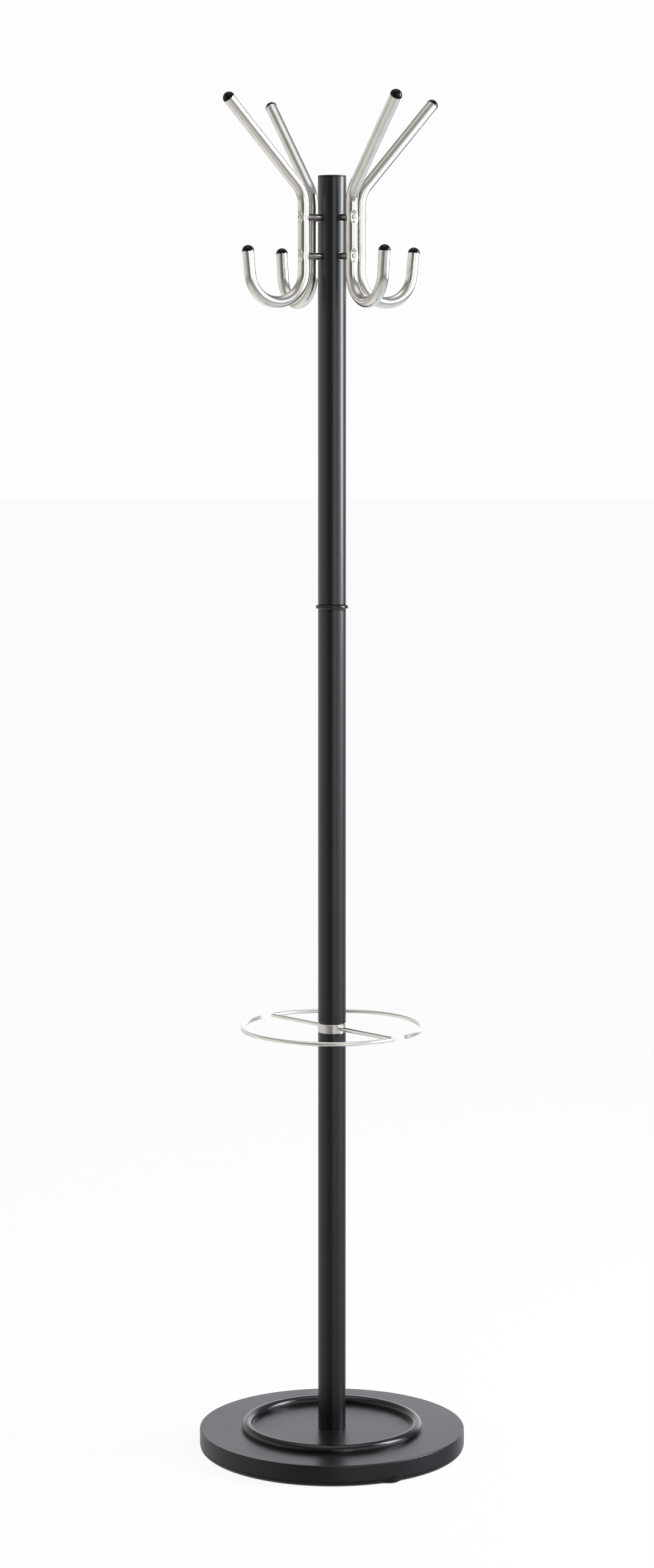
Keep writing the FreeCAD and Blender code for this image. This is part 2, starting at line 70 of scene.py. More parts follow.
# ---------------------------------------------------------------- shader maths
class Wire:
    """A node socket that can be used in Python expressions."""

    def __init__(self, graph: "Graph", socket: bpy.types.NodeSocket) -> None:
        """Wraps a socket.

        Args:
            graph: The graph that new Math nodes are added to.
            socket: The output socket that carries the value.
        """
        self.graph = graph
        self.socket = socket

    def _maths(self, operation: str, *values: "Wire | Number") -> "Wire":
        """Adds a Math node.

        Args:
            operation: The Math node's operation.
            values: Its inputs, in order.

        Returns:
            The node's result.
        """
        return self.graph.node("ShaderNodeMath", {"operation": operation}, dict(enumerate(values)))

    def __add__(self, other: "Wire | Number") -> "Wire":
        """Sum of two values."""
        return self._maths("ADD", self, other)

    def __radd__(self, other: Number) -> "Wire":
        """Sum with a plain number on the left."""
        return self._maths("ADD", other, self)

    def __sub__(self, other: "Wire | Number") -> "Wire":
        """Difference of two values."""
        return self._maths("SUBTRACT", self, other)

    def __rsub__(self, other: Number) -> "Wire":
        """Difference from a plain number on the left."""
        return self._maths("SUBTRACT", other, self)

    def __mul__(self, other: "Wire | Number") -> "Wire":
        """Product of two values."""
        return self._maths("MULTIPLY", self, other)

    def __rmul__(self, other: Number) -> "Wire":
        """Product with a plain number on the left."""
        return self._maths("MULTIPLY", other, self)

    def turn_from(self, other: "Wire") -> "Wire":
        """Share of a full turn, 0.5 at the front and more to its right, from the X and Y of a direction."""
        return self._maths("ARCTAN2", self, 0.0 - other) * (0.5 / math.pi) + 0.5

    def step(self, low: float, high: float) -> "Wire":
        """Smooth step between two values.

        Args:
            low: Where the step starts, at 0.
            high: Where it ends, at 1.

        Returns:
            A value from 0 to 1.
        """
        settings = {"interpolation_type": "SMOOTHSTEP", "clamp": True}
        inputs = {"Value": self, "From Min": low, "From Max": high, "To Min": 0.0, "To Max": 1.0}
        return self.graph.node("ShaderNodeMapRange", settings, inputs)


class Graph:
    """Adds nodes to one material's or one world's tree."""

    def __init__(self, tree: bpy.types.NodeTree) -> None:
        """Starts on an emptied tree.

        Args:
            tree: The node tree to fill.
        """
        self.tree = tree
        tree.nodes.clear()

    def node(self, kind: str, settings: dict, inputs: dict, output: "int | str" = 0) -> Wire:
        """Adds one node, sets it up and wires its inputs.

        Args:
            kind: The node's type name.
            settings: Properties to set before the inputs, with a ramp's stops under "stops".
            inputs: Values or wires, by socket name or index.
            output: Which output is handed back.

        Returns:
            That output as a wire.
        """
        made = self.tree.nodes.new(kind)
        for name, value in settings.items():
            if name == "stops":
                self._set_stops(made.color_ramp, value)
            else:
                setattr(made, name, value)
        for name, value in inputs.items():
            if isinstance(value, Wire):
                self.tree.links.new(value.socket, made.inputs[name])
            else:
                made.inputs[name].default_value = value
        if not len(made.outputs):
            return Wire(self, None)
        return Wire(self, made.outputs[output])

    @staticmethod
    def _set_stops(ramp: bpy.types.ColorRamp, stops: Sequence[tuple[float, float]]) -> None:
        """Puts grey stops on a colour ramp.

        Args:
            ramp: The ramp to fill.
            stops: Pairs of position and grey level, from left to right.
        """
        while len(ramp.elements) < len(stops):
            ramp.elements.new(1.0)
        for element, (position, grey) in zip(ramp.elements, stops):
            element.position = position
            element.color = (grey, grey, grey, 1.0)

    def mix(self, factor: "Wire | Number", first: "Wire | Colour", second: "Wire | Colour") -> Wire:
        """Mixes two colours.

        Args:
            factor: 0 gives the first colour and 1 the second.
            first: A colour or a wire.
            second: A colour or a wire.

        Returns:
            The mixed colour.
        """
        ends = [value if isinstance(value, Wire) else (*value, 1.0) for value in (first, second)]
        inputs = {MIX_FACTOR: factor, MIX_FIRST: ends[0], MIX_SECOND: ends[1]}
        return self.node("ShaderNodeMix", {"data_type": "RGBA"}, inputs, MIX_RESULT)

    def ramp(self, value: Wire, stops: Outline) -> Wire:
        """Grey level read from a colour ramp.

        Args:
            value: Where on the ramp it is read, from 0 to 1.
            stops: Pairs of position and grey level, from left to right.

        Returns:
            The grey level.
        """
        return self.node("ShaderNodeValToRGB", {"stops": stops}, {"Fac": value})

    def noise(self, place: Wire, scale: float, detail: float = 2.0, rough: float = 0.5) -> Wire:
        """Noise from 0 to 1.

        Args:
            place: The coordinates it is read at.
            scale: Its scale, per metre.
            detail: How many octaves.
            rough: How strong the finer octaves are.

        Returns:
            The noise value.
        """
        inputs = {"Vector": place, "Scale": scale, "Detail": detail, "Roughness": rough}
        return self.node("ShaderNodeTexNoise", {}, inputs)

    def stretched(self, place: Wire, scale: Place) -> Wire:
        """Coordinates stretched along their axes.

        Args:
            place: The coordinates.
            scale: A factor for each axis.

        Returns:
            The stretched coordinates.
        """
        return self.node("ShaderNodeMapping", {}, {"Vector": place, "Scale": scale})

    def bump(self, height: Wire, strength: float, distance: float) -> Wire:
        """Bumps the surface's normal.

        Args:
            height: The height value.
            strength: How much of the bump shows.
            distance: The height of a full step, in metres.

        Returns:
            The bumped normal.
        """
        inputs = {"Height": height, "Strength": strength, "Distance": distance}
        return self.node("ShaderNodeBump", {}, inputs)

    def principled(self, inputs: dict) -> Wire:
        """Adds the surface shader with the given inputs."""
        return self.node("ShaderNodeBsdfPrincipled", {}, inputs)


class Grain(Enum):
    """Which coordinates a brushed pattern follows."""

    OBJECT = "object"
    TUBE = "grain"


# ---------------------------------------------------------------- finishes
@dataclass(frozen=True)
class Finish:
    """What every finish has: a name, the record's slot and a way to make its material."""

    name: str
    slot: str

    def material(self) -> bpy.types.Material:
        """Makes the material, or finds it if it was made before.

        Returns:
            The finished material.
        """
        made = bpy.data.materials.get(self.name)
        if made is None:
            made = bpy.data.materials.new(self.name)
            made.use_nodes = True
            graph = Graph(made.node_tree)
            surface = self.surface(graph)
            graph.node("ShaderNodeOutputMaterial", {}, {"Surface": surface})
        return made

    def surface(self, graph: Graph) -> Wire:
        """Builds the shader.

        Args:
            graph: The material's graph.

        Returns:
            The shader's output.
        """
        raise NotImplementedError

    def coordinates(self, graph: Graph, grain: Grain = Grain.OBJECT) -> Wire:
        """Coordinates that a pattern is read at.

        Args:
            graph: The material's graph.
            grain: Object coordinates, or the piece's own straightened ones.

        Returns:
            The coordinates, in metres.
        """
        if grain is Grain.TUBE:
            return graph.node("ShaderNodeAttribute", {"attribute_name": grain.value}, {}, "Vector")
        return graph.node("ShaderNodeTexCoord", {}, {}, "Object")


@dataclass(frozen=True)
class PowderCoat(Finish):
    """Matte black powder coat: a fine pebbled skin with faint handling marks."""

    tint: Colour = (0.0032, 0.0036, 0.0044)
    worn_tint: Colour = (0.0055, 0.0059, 0.0068)
    roughness: float = 0.28
    gloss_index: float = 1.52
    pebble: float = 0.00003
    pebble_scale: float = 1500.0
    patch_scale: float = 9.0
    speck_scale: float = 520.0
    patch_wear: float = 0.6
    speck_wear: float = 0.25
    patch_gloss: float = 0.09
    pebble_gloss: float = 0.04
    speck_rise: float = 0.4
    bump_strength: float = 0.55

    def surface(self, graph: Graph) -> Wire:
        """Pebbled dielectric with a slow change in gloss.

        Args:
            graph: The material's graph.

        Returns:
            The shader's output.
        """
        place = self.coordinates(graph)
        pebbles = graph.noise(place, self.pebble_scale, 2.0, 0.6)
        patches = graph.noise(place, self.patch_scale, 3.0, 0.55)
        specks = graph.noise(place, self.speck_scale, 1.0).step(0.62, 0.8)
        wear = patches.step(0.35, 0.75) * self.patch_wear + specks * self.speck_wear
        colour = graph.mix(wear, self.tint, self.worn_tint)
        rough = self.roughness + (patches - 0.5) * self.patch_gloss + (pebbles - 0.5) * self.pebble_gloss
        normal = graph.bump(pebbles + specks * self.speck_rise, self.bump_strength, self.pebble)
        return graph.principled(
            {"Base Color": colour, "Roughness": rough, "Normal": normal, "IOR": self.gloss_index})


@dataclass(frozen=True)
class BrushedSteel(Finish):
    """Stainless steel with a satin grain and faint polishing streaks."""

    tint: Colour = (0.66, 0.635, 0.60)
    dull_tint: Colour = (0.55, 0.525, 0.49)
    roughness: float = 0.19
    grain: Grain = Grain.TUBE
    stretch: Place = (260.0, 260.0, 3200.0)
    scratch: float = 0.0000022
    cloud_scale: float = 46.0
    mottle_scale: float = 900.0
    cloud_shade: float = 0.55
    brushed_shade: float = 0.25
    mottle_shade: float = 0.1
    cloud_gloss: float = 0.07
    brushed_gloss: float = 0.1
    bump_strength: float = 0.6

    def surface(self, graph: Graph) -> Wire:
        """Metal whose fine grain runs one way.

        Args:
            graph: The material's graph.

        Returns:
            The shader's output.
        """
        place = self.coordinates(graph, self.grain)
        brushed = graph.noise(graph.stretched(place, self.stretch), 1.0, 3.0, 0.6)
        cloud = graph.noise(place, self.cloud_scale, 3.0, 0.6)
        mottle = graph.noise(place, self.mottle_scale, 2.0, 0.5)
        dulled = cloud.step(0.3, 0.75) * self.cloud_shade + brushed * self.brushed_shade
        colour = graph.mix(dulled + mottle * self.mottle_shade, self.tint, self.dull_tint)
        rough = self.roughness + (cloud - 0.5) * self.cloud_gloss + (brushed - 0.5) * self.brushed_gloss
        normal = graph.bump(brushed, self.bump_strength, self.scratch)
        return graph.principled({"Base Color": colour, "Metallic": 1.0, "Roughness": rough, "Normal": normal})


@dataclass(frozen=True)
class Plastic(Finish):
    """Black moulded plastic, glossy or satin, with a faint flow texture."""

    tint: Colour = (0.006, 0.006, 0.0065)
    roughness: float = 0.12
    texture: float = 0.00001
    gloss_index: float = 1.4
    peel_scale: float = 420.0
    flow_scale: float = 30.0
    flow_gain: float = 1.3
    flow_lift: float = 0.001
    flow_gloss: float = 0.08
    bump_strength: float = 0.4

    def surface(self, graph: Graph) -> Wire:
        """Dielectric with slight orange peel and small gloss changes.

        Args:
            graph: The material's graph.

        Returns:
            The shader's output.
        """
        place = self.coordinates(graph)
        peel = graph.noise(place, self.peel_scale, 2.0, 0.5)
        flow = graph.noise(place, self.flow_scale, 3.0, 0.6)
        lighter = tuple(channel * self.flow_gain + self.flow_lift for channel in self.tint)
        colour = graph.mix(flow.step(0.4, 0.8), self.tint, lighter)
        rough = self.roughness + (flow - 0.5) * self.flow_gloss
        normal = graph.bump(peel, self.bump_strength, self.texture)
        return graph.principled(
            {"Base Color": colour, "Roughness": rough, "Normal": normal, "IOR": self.gloss_index})


@dataclass(frozen=True)
class Metal(Finish):
    """Turned, plated or cast metal out of sight of most views."""

    tint: Colour = (0.5, 0.5, 0.48)
    roughness: float = 0.3
    metallic: float = 1.0
    lump: float = 0.00001
    scale: float = 700.0
    patch_ratio: float = 12.0
    patch_shade: float = 0.72
    gloss_change: float = 0.16
    bump_strength: float = 0.6

    def surface(self, graph: Graph) -> Wire:
        """Metal with a fine or lumpy surface.

        Args:
            graph: The material's graph.

        Returns:
            The shader's output.
        """
        place = self.coordinates(graph)
        fine = graph.noise(place, self.scale, 3.0, 0.55)
        patches = graph.noise(place, self.scale / self.patch_ratio, 2.0, 0.5)
        darker = tuple(channel * self.patch_shade for channel in self.tint)
        colour = graph.mix(patches.step(0.35, 0.7), self.tint, darker)
        rough = self.roughness + (fine - 0.5) * self.gloss_change
        normal = graph.bump(fine, self.bump_strength, self.lump)
        return graph.principled(
            {"Base Color": colour, "Metallic": self.metallic, "Roughness": rough, "Normal": normal})


POLE_COAT = PowderCoat("pole_powder_coat", "black_powder_coat")
# The foot wears a darker, less reflective copy of the pole's powder coat: painted shade for the darkening of
# the foot down by the floor.
SHADED_FOOT_COAT = PowderCoat(
    "foot_powder_coat_painted_shade", "black_powder_coat", tint=(0.003, 0.0032, 0.0037), worn_tint=(0.005, 0.0052, 0.0059),
    roughness=0.3, gloss_index=1.45)
TUBE_STEEL = BrushedSteel("hook_steel", "brushed_stainless")
# The umbrella rods wear a lighter copy of the hook steel: painted light for the brighter reflections that the
# horizontal rods catch.
LIT_ROD_STEEL = BrushedSteel(
    "rod_steel_painted_light", "brushed_stainless", tint=(0.8, 0.78, 0.74), dull_tint=(0.7, 0.68, 0.64), roughness=0.27)
SCREW_STEEL = BrushedSteel(
    "screw_steel", "brushed_stainless", tint=(0.8, 0.78, 0.74), dull_tint=(0.66, 0.64, 0.6), roughness=0.34,
    grain=Grain.OBJECT)
COLLAR_STEEL = BrushedSteel(
    "collar_steel", "brushed_stainless", tint=(0.74, 0.71, 0.68), dull_tint=(0.64, 0.61, 0.58),
    grain=Grain.OBJECT)
DRIP_PLASTIC = Plastic(
    "drip_ring_plastic", "satin_black_plastic", tint=(0.004, 0.0041, 0.0046), roughness=0.17,
    gloss_index=1.45)
GLOSS_PLASTIC = Plastic(
    "cap_plastic", "gloss_black_plastic", tint=(0.0012, 0.0012, 0.0014), roughness=0.13, gloss_index=1.3)
JOINT_PLASTIC = Plastic(
    "joint_ring_plastic", "satin_black_plastic", tint=(0.004, 0.0041, 0.0046), roughness=0.1,
    gloss_index=1.5)
SATIN_PLASTIC = Plastic("top_cap_plastic", "satin_black_plastic", tint=(0.008, 0.0082, 0.009), roughness=0.27)
RUBBER = Plastic(
    "edging_rubber", "black_rubber", tint=(0.005, 0.005, 0.0053), roughness=0.42, texture=0.00003,
    gloss_index=1.25)
ACETAL = Plastic("natural_acetal", "bearing_plastic", tint=(0.62, 0.61, 0.57), roughness=0.35)
SPACER_STEEL = Metal("spacer_steel", "dark_turned_steel", tint=(0.30, 0.28, 0.26), roughness=0.22)
PLATED_STEEL = Metal("zinc_plating", "plated_steel", tint=(0.55, 0.55, 0.53), roughness=0.32)
CAST_IRON = Metal(
    "foot_casting", "cast_iron", tint=(0.05, 0.05, 0.05), roughness=0.75, metallic=0.6, lump=0.0003,
    scale=300.0)
BY_SLOT = {
    finish.slot: finish
    for finish in (POLE_COAT, COLLAR_STEEL, GLOSS_PLASTIC, SATIN_PLASTIC, RUBBER, ACETAL, SPACER_STEEL,
                   PLATED_STEEL, CAST_IRON)}


def dress_node(node: str, finish: Finish) -> None:
    """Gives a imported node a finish.

    Args:
        node: The node's name.
        finish: The finish to wear.
    """
    piece = frame["nodes"][node]
    piece.data.materials.clear()
    piece.data.materials.append(finish.material())


# ---------------------------------------------------------------- studio
@dataclass
class Studio:
    """Camera, soft light and a plain pale floor."""

    camera_place: Place = (-0.0068, -4.9008, 1.5232)
    camera_pitch: float = 6.968
    lens: float = 83.76
    sensor: float = 36.0
    view_reach: float = 200.0
    floor_size: float = 60.0
    floor_grey: float = 0.9
    ground_level: float = 0.985
    glow_share: float = 0.94
    brightest: float = 4.0
    surround: Outline = field(default_factory=lambda: [
        (-180, 1.4), (-150, 0.85), (-120, 1.05), (-75, 1.05), (-50, 0.62), (-35, 0.34), (-20, 0.13),
        (-5, 0.1), (2, 0.2), (7, 1.0), (13, 1.2), (15, 2.7), (23, 2.7), (26, 1.1), (30, 1.4), (46, 1.5),
        (58, 1.9), (70, 2.8), (101, 2.3), (108, 0.3), (134, 0.3), (152, 2.1), (180, 1.5)])
    panels: Outline = field(default_factory=lambda: [(-2, 0.0), (12, 1.0), (110, 1.0), (130, 0.0)])
    panel_rise: Outline = field(default_factory=lambda: [
        (-0.5, 0.3), (-0.22, 0.28), (-0.12, 0.8), (-0.04, 1.3), (0.01, 1.0), (0.06, 0.85)])
    floor_rise: Outline = field(default_factory=lambda: [(-0.5, 1.0), (-0.19, 0.35), (-0.03, 0.0)])
    floor_glow: Outline = field(default_factory=lambda: [
        (-180, 1.2), (-110, 1.2), (-60, 0.95), (-20, 0.8), (20, 0.8), (60, 1.0), (110, 1.1), (180, 1.2)])
    floor_dip: Outline = field(default_factory=lambda: [
        (-0.58, 1.0), (-0.36, 0.5), (-0.24, 0.55), (-0.12, 1.0)])
    sky_rise: Outline = field(default_factory=lambda: [(0.3, 0.0), (0.55, 1.0)])
    sky_glow: Outline = field(default_factory=lambda: [(0.5, 0.1), (0.86, 0.11), (0.97, 0.38)])
    coolness: Outline = field(default_factory=lambda: [
        (-180, 0.7), (-136.8, 0.0), (36, 0.0), (57.6, 1.0), (122.4, 1.0), (180, 0.7)])
    warm_tone: Colour = (1.0, 0.995, 0.985)
    cool_tone: Colour = (0.9, 0.95, 1.02)
    box_turn: float = 89.0
    box_distance: float = 2.4
    box_height: float = 1.925
    box_size: tuple[float, float] = (1.15, 1.85)
    box_power: float = 95.8
    box_tone: Colour = (0.94, 0.97, 1.0)
    box_aim: Place = (0.0, 0.0, 1.0)

    def build(self) -> None:
        """Makes the whole studio."""
        self.add_camera()
        self.add_floor()
        self.add_world()
        self.add_soft_box()
        bpy.context.scene.view_settings.view_transform = "Standard"

    def add_camera(self) -> None:
        """Adds the camera, level from side to side and pitched down."""
        data = bpy.data.cameras.new("camera")
        data.lens = self.lens
        data.sensor_width = self.sensor
        data.clip_end = self.view_reach
        camera = bpy.data.objects.new("camera", data)
        camera.location = self.camera_place
        camera.rotation_euler = (math.radians(90 - self.camera_pitch), 0.0, 0.0)
        bpy.context.scene.collection.objects.link(camera)
        bpy.context.scene.camera = camera

    def add_floor(self) -> None:
        """Adds a pale floor that takes only a soft shadow."""
        bpy.ops.object.select_all(action="DESELECT")
        bpy.ops.mesh.primitive_plane_add(size=self.floor_size)
        floor = bpy.context.object
        floor.name = "floor"
        material = bpy.data.materials.new("pale_floor")
        material.use_nodes = True
        graph = Graph(material.node_tree)
        grey = (self.floor_grey, self.floor_grey, self.floor_grey, 1.0)
        matte = graph.node("ShaderNodeBsdfDiffuse", {}, {"Color": grey})
        glow = graph.node("ShaderNodeEmission", {}, {"Strength": self.ground_level})
        pale = graph.node("ShaderNodeMixShader", {}, {0: self.glow_share, 1: matte, 2: glow})
        clear = graph.node("ShaderNodeBsdfTransparent", {}, {})
        seen = graph.node("ShaderNodeLightPath", {}, {}, "Is Camera Ray")
        shader = graph.node("ShaderNodeMixShader", {}, {0: seen, 1: clear, 2: pale})
        graph.node("ShaderNodeOutputMaterial", {}, {"Surface": shader})
        floor.data.materials.append(material)

    def add_world(self) -> None:
        """Adds a pale surround with a dark gap in front and bright panels on the right."""
        world = bpy.data.worlds.new("studio")
        bpy.context.scene.world = world
        world.use_nodes = True
        graph = Graph(world.node_tree)
        way = graph.node("ShaderNodeTexCoord", {}, {}, "Generated")
        across, along, up = (graph.node("ShaderNodeSeparateXYZ", {}, {"Vector": way}, axis) for axis in "XYZ")
        turn = across.turn_from(along)
        around = graph.ramp(turn, self.by_turn(self.surround, self.brightest))
        ahead = graph.ramp(turn, self.by_turn(self.panels, 1.0))
        rise = up * 0.5 + 0.5
        height = graph.ramp(rise, self.by_rise(self.panel_rise))
        below = graph.ramp(rise, self.by_rise(self.floor_rise))
        above = graph.ramp(rise, self.by_rise(self.sky_rise))
        floor = graph.ramp(turn, self.by_turn(self.floor_glow, self.brightest)) * self.brightest
        sky = graph.ramp(rise, self.by_rise(self.sky_glow)) * self.brightest
        walls = around * self.brightest * (1.0 - ahead * (1.0 - height))
        lower = walls * (1.0 - below) + floor * below
        dip = graph.ramp(rise, self.by_rise(self.floor_dip))
        level = lower * dip * (1.0 - above) + sky * above
        tone = graph.mix(graph.ramp(turn, self.by_turn(self.coolness, 1.0)), self.warm_tone, self.cool_tone)
        soft = graph.node("ShaderNodeBackground", {}, {"Color": tone, "Strength": level})
        white = {"Color": (1.0, 1.0, 1.0, 1.0), "Strength": self.ground_level}
        plain = graph.node("ShaderNodeBackground", {}, white)
        seen = graph.node("ShaderNodeLightPath", {}, {}, "Is Camera Ray")
        shader = graph.node("ShaderNodeMixShader", {}, {0: seen, 1: soft, 2: plain})
        graph.node("ShaderNodeOutputWorld", {}, {"Surface": shader})

    @staticmethod
    def by_turn(levels: Outline, unit: float) -> Outline:
        """Ramp stops from pairs of degrees, right of the front, and a level in the given unit."""
        return [(0.5 + angle / 360.0, level / unit) for angle, level in levels]

    @staticmethod
    def by_rise(levels: Outline) -> Outline:
        """Ramp stops from pairs of a direction's upward share, from -1 to 1, and level."""
        return [(0.5 + share * 0.5, level) for share, level in levels]

    def add_soft_box(self) -> None:
        """Adds a tall soft box on the right that faces the pole."""
        data = bpy.data.lights.new("right_box", "AREA")
        data.shape = "RECTANGLE"
        data.size, data.size_y = self.box_size
        data.energy = self.box_power
        data.color = self.box_tone
        angle = math.radians(self.box_turn)
        reach = self.box_distance
        place = Vector((math.sin(angle) * reach, -math.cos(angle) * reach, self.box_height))
        light = bpy.data.objects.new("right_box", data)
        light.location = place
        light.rotation_euler = (Vector(self.box_aim) - place).to_track_quat("-Z", "Y").to_euler()
        bpy.context.scene.collection.objects.link(light)


# ---------------------------------------------------------------- workbench
class Element(Enum):
    """What edit mode selects."""

    VERTEX = "VERT"
    EDGE = "EDGE"


def pick(piece: bpy.types.Object) -> None:
    """Selects only the given object and makes it active.

    Args:
        piece: The object.
    """
    bpy.ops.object.select_all(action="DESELECT")
    piece.select_set(True)
    bpy.context.view_layer.objects.active = piece


def select_points(piece: bpy.types.Object, wanted: Callable[[Vector], bool]) -> None:
    """Selects the vertices of a mesh by their place, from object mode.

    Args:
        piece: The object whose vertices are selected.
        wanted: Says from a vertex's place whether it is selected.
    """
    for polygon in piece.data.polygons:
        polygon.select = False
    for edge in piece.data.edges:
        edge.select = False
    for vertex in piece.data.vertices:
        vertex.select = wanted(vertex.co)


def in_edit_mode(piece: bpy.types.Object, element: Element = Element.VERTEX) -> None:
    """Enters edit mode on one object with one kind of selection.

    Args:
        piece: The object.
        element: What is selected.
    """
    pick(piece)
    bpy.ops.object.mode_set(mode="EDIT")
    bpy.ops.mesh.select_mode(type=element.value)


def close_up(piece: bpy.types.Object, cap_ends: bool = False) -> None:
    """Merges doubled points, faces the mesh outwards and leaves edit mode.

    Args:
        piece: The object that is being edited.
        cap_ends: Whether its open ends are filled.
    """
    bpy.ops.mesh.select_all(action="SELECT")
    bpy.ops.mesh.remove_doubles(threshold=MERGE_DISTANCE)
    bpy.ops.mesh.select_all(action="SELECT")
    if cap_ends:
        bpy.ops.mesh.fill_holes(sides=0)
        bpy.ops.mesh.select_all(action="SELECT")
    bpy.ops.mesh.normals_make_consistent(inside=False)
    bpy.ops.object.mode_set(mode="OBJECT")
    pick(piece)


def new_ring(name: str, radius: float, sides: int, place: Vector, turn: Euler) -> bpy.types.Object:
    """Puts down one ring of vertices and opens it in edit mode, selected.

    Args:
        name: The new object's name.
        radius: The ring's radius.
        sides: How many sides it has.
        place: Its centre.
        turn: How it is turned from lying flat.

    Returns:
        The ring's object.
    """
    bpy.ops.object.select_all(action="DESELECT")
    bpy.ops.mesh.primitive_circle_add(vertices=sides, radius=radius, location=place, rotation=turn)
    ring = bpy.context.object
    ring.name = name
    ring.data.name = name
    bpy.ops.object.transform_apply(location=True, rotation=True, scale=True)
    bpy.ops.object.mode_set(mode="EDIT")
    bpy.ops.mesh.select_all(action="SELECT")
    return ring


# ---------------------------------------------------------------- bent tube
class TubeBender:
    """Makes a bent round bar as a bending machine does, one run at a time."""

    def __init__(self, name: str, radius: float, start: Vector, direction: Vector, sides: int) -> None:
        """Puts down the first ring.

        Args:
            name: The new object's name.
            radius: The bar's outside radius.
            start: Where its centre line starts.
            direction: Which way it goes first.
            sides: How many sides its ring has.
        """
        turn = direction.to_track_quat("Z", "Y").to_euler()
        self.piece: bpy.types.Object = new_ring(name, radius, sides, start, turn)
        self.end: Vector = start.copy()
        self.direction: Vector = direction.normalized()
        self.length: float = 0.0
        self.marks: list[tuple[Vector, Vector, float]] = []
        self._mark(0.0)

    def straight(self, length: float, steps: int) -> None:
        """Runs straight on.

        Args:
            length: How far.
            steps: In how many rings.
        """
        for _ in range(steps):
            move = self.direction * (length / steps)
            bpy.ops.mesh.extrude_region_move(TRANSFORM_OT_translate={"value": move})
            self.end = self.end + move
            self._mark(length / steps)

    def bend(self, centre: Vector, axis: Vector, degrees: float, steps: int) -> None:
        """Bends round a centre.

        Args:
            centre: The centre of the bend.
            axis: What it turns about.
            degrees: How far it turns.
            steps: In how many rings.
        """
        turn = math.radians(degrees)
        arm = (self.end - centre).length
        bpy.ops.mesh.spin(steps=steps, angle=-turn, center=centre, axis=axis)
        one = Matrix.Rotation(turn / steps, 3, axis)
        for _ in range(steps):
            self.end = centre + one @ (self.end - centre)
            self.direction = one @ self.direction
            self._mark(arm * abs(turn) / steps)

    def _mark(self, step: float) -> None:
        """Notes where the centre line is after a step of the given length."""
        self.length += step
        self.marks.append((self.end.copy(), self.direction.copy(), self.length))

    def finish(self, side: Vector) -> bpy.types.Object:
        """Closes both ends, turns the faces outwards and lays the grain along the bar.

        Args:
            side: A direction that the centre line never takes, to measure round from.

        Returns:
            The finished bar.
        """
        close_up(self.piece, cap_ends=True)
        bpy.ops.object.shade_smooth_by_angle(angle=SMOOTH_ANGLE)
        self._lay_grain(side)
        return self.piece

    def _lay_grain(self, side: Vector) -> None:
        """Stores where each point would lie if the bar were straight.

        Args:
            side: A direction that the centre line never takes.
        """
        tree = KDTree(len(self.marks))
        for index, (place, _, _) in enumerate(self.marks):
            tree.insert(place, index)
        tree.balance()
        laid = self.piece.data.attributes.new(Grain.TUBE.value, "FLOAT_VECTOR", "POINT")
        for index, vertex in enumerate(self.piece.data.vertices):
            place, ahead, length = self.marks[tree.find(vertex.co)[1]]
            offset = vertex.co - place
            other = ahead.cross(side).normalized()
            across = other.cross(ahead)
            laid.data[index].vector = (offset.dot(other), offset.dot(across), length + offset.dot(ahead))


def placed_copy(source: bpy.types.Object, name: str, place: Matrix) -> bpy.types.Object:
    """Copies a piece with its own mesh and moves the mesh, so the object stays at the origin.

    Args:
        source: The piece to copy.
        name: The copy's name.
        place: Where the copy goes.

    Returns:
        The copy.
    """
    made = source.copy()
    made.data = source.data.copy()
    made.name = name
    made.data.name = name
    made.data.transform(place)
    bpy.context.scene.collection.objects.link(made)
    return made


